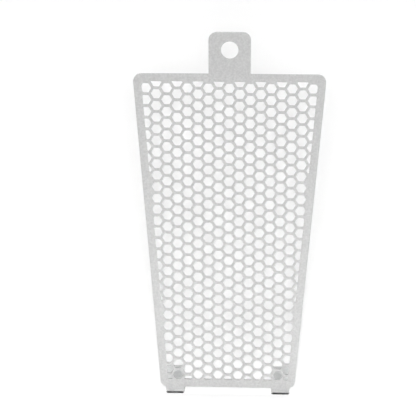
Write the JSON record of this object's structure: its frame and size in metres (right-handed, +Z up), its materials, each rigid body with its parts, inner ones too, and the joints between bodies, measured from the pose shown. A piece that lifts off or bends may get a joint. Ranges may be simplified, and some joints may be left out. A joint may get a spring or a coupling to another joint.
{
  "type": "motorcycle radiator guard",
  "caption": "Flat steel sheet guard with a hexagon mesh, a slightly tapered plate, a top tab with a bolt hole and folded hooks along its lower edge.",
  "frame": {"origin": "centre of the bolt hole in the top tab, halfway through the sheet", "axes": "+Z up along the height of the plate, front face towards -Y, +X to the right when looking at the front"},
  "size_m": [0.1832, 0.019, 0.3675],
  "materials": {
    "steel_sheet": "satin, bead blasted stainless steel with laser-cut edges"
  },
  "bodies": {
    "root": {"guard_sheet": "steel_sheet"}
  },
  "joints": []
}
